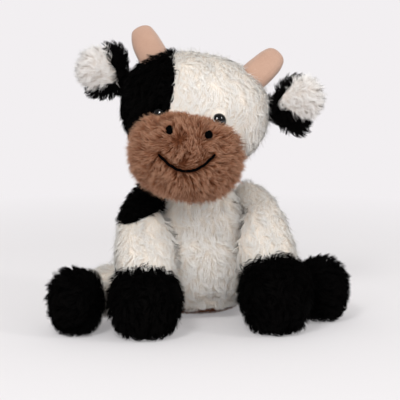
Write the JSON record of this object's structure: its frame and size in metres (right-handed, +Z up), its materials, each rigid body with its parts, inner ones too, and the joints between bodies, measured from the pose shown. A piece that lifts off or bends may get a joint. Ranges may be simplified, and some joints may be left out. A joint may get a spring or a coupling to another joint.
{
  "type": "plush cow",
  "caption": "Seated plush cow with stuffed body, turning head, swinging arms, legs, ears and tail, pellet-weighted seat on a flat base.",
  "frame": {"origin": "centre of the seat's flat underside, on the surface that the toy sits on", "axes": "+Z up, the cow's chest faces -Y, its right side is at -X"},
  "size_m": [0.2406, 0.2129, 0.233],
  "materials": {
    "cream_plush": "tousled long pile",
    "black_plush": "long pile",
    "brown_plush": "long pile, paler at the tips",
    "base_plush": "short pile",
    "white_plush": "long soft pile",
    "tan_velour": "short velour",
    "black_plastic": "polished",
    "washer_plastic": "moulded",
    "black_thread": "satin stitch",
    "fibre": "loose polyester fibre",
    "bag_cloth": "plain woven"
  },
  "bodies": {
    "body": {"body_cover": "cream_plush", "base_panel": "base_plush", "body_stuffing": "fibre", "pellet_bag": "bag_cloth"},
    "head": {"head_cover": "cream_plush", "eye_patch": "black_plush", "head_stuffing": "fibre", "muzzle": "brown_plush", "nostril_right": "black_thread", "nostril_left": "black_thread", "smile": "black_thread", "eye_right": "black_plastic", "eye_left": "black_plastic", "eye_washer_right": "washer_plastic", "eye_washer_left": "washer_plastic", "horn_right": "tan_velour", "horn_left": "tan_velour"},
    "right_ear": {"ear_back_right": "black_plush", "ear_lining_right": "white_plush"},
    "left_ear": {"ear_back_left": "black_plush", "ear_lining_left": "white_plush"},
    "right_arm": {"shoulder_patch": "black_plush", "arm_right": "cream_plush", "paw_right": "black_plush", "arm_stuffing_right": "fibre"},
    "left_arm": {"arm_left": "cream_plush", "paw_left": "black_plush", "arm_stuffing_left": "fibre"},
    "right_leg": {"leg_right": "cream_plush", "foot_right": "black_plush", "leg_stuffing_right": "fibre"},
    "left_leg": {"leg_left": "cream_plush", "foot_left": "black_plush", "leg_stuffing_left": "fibre"},
    "tail": {"tail": "cream_plush", "tail_tuft": "black_plush"}
  },
  "joints": [
    {"name": "head_turn", "type": "hinge", "parent": "body", "child": "head", "pos_m": [0, -0.018, 0.097], "axis": [0, 0, 1], "range_deg": [-15, 25], "stiffness_Nm_per_rad": 0.15},
    {"name": "right_arm_swing", "type": "hinge", "parent": "body", "child": "right_arm", "pos_m": [-0.04158, -0.0182, 0.0896], "axis": [-1, 0, 0], "range_deg": [0, 30]},
    {"name": "left_arm_swing", "type": "hinge", "parent": "body", "child": "left_arm", "pos_m": [0.04158, -0.0182, 0.0896], "axis": [-1, 0, 0], "range_deg": [0, 30]},
    {"name": "right_leg_swing", "type": "hinge", "parent": "body", "child": "right_leg", "pos_m": [-0.0432, 0.01248, 0.028], "axis": [0, 0, -1], "range_deg": [0, 25]},
    {"name": "left_leg_swing", "type": "hinge", "parent": "body", "child": "left_leg", "pos_m": [0.0432, 0.01248, 0.028], "axis": [0, 0, 1], "range_deg": [0, 25]},
    {"name": "right_ear_bend", "type": "hinge", "parent": "head", "child": "right_ear", "pos_m": [-0.05502, -0.02412, 0.18667], "axis": [0.4187, -0.1664, 0.8927], "range_deg": [-15, 15], "stiffness_Nm_per_rad": 0.02},
    {"name": "left_ear_bend", "type": "hinge", "parent": "head", "child": "left_ear", "pos_m": [0.04958, -0.04636, 0.16781], "axis": [-0.1253, -0.0507, 0.9908], "range_deg": [-15, 15], "stiffness_Nm_per_rad": 0.02},
    {"name": "tail_swing", "type": "hinge", "parent": "body", "child": "tail", "pos_m": [0, 0.0468, 0.02464], "axis": [0, 0, 1], "range_deg": [-25, 25]}
  ]
}
